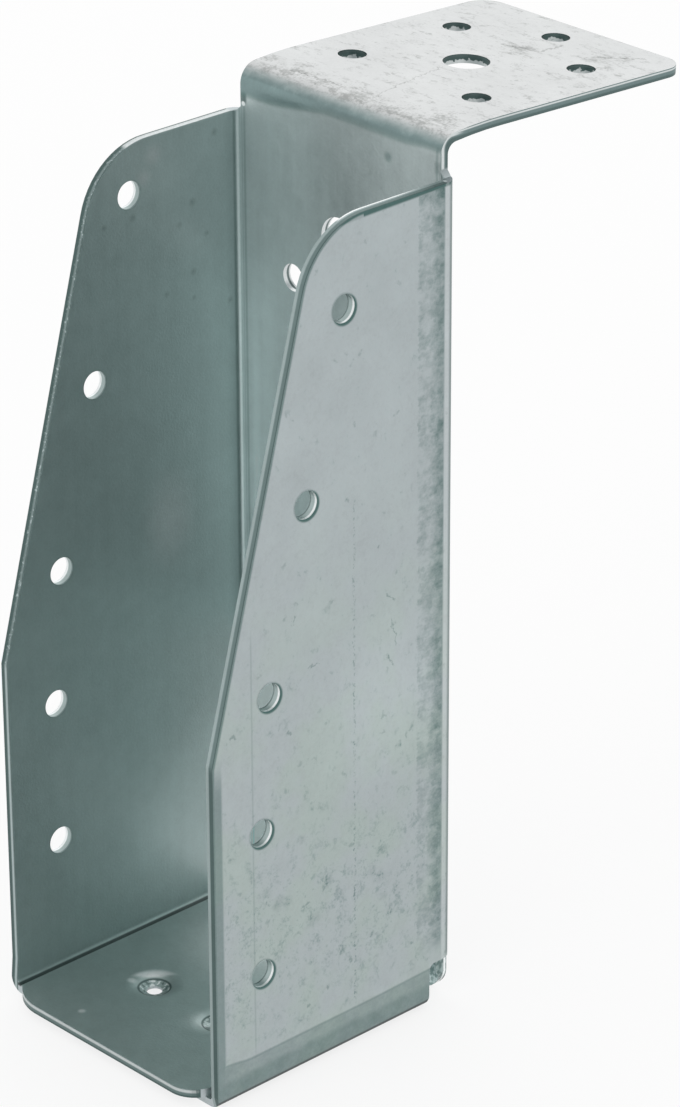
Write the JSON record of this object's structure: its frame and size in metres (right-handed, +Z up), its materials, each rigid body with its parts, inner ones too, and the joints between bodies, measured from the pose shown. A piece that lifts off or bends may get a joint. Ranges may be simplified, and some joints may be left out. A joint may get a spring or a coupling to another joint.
{
  "type": "joist hanger",
  "caption": "Folded sheet-steel joist hanger: a tall channel with side plates that taper back towards the top, a lapped seat at the foot and a nailing flange that folds back over the header.",
  "frame": {"origin": "foot of the back plate's rear face: x = 0 midway between the side plates, y = 0 on the back plate's rear face, z = 0 on the underside of the seat", "axes": "+Z up towards the top flange, +Y backwards along the flange over the header, +X towards the right side plate seen from the front"},
  "size_m": [0.0494, 0.1067, 0.1484],
  "materials": {
    "zinc": "galvanised, dull to satin"
  },
  "bodies": {
    "root": {"hanger": "zinc"}
  },
  "joints": []
}
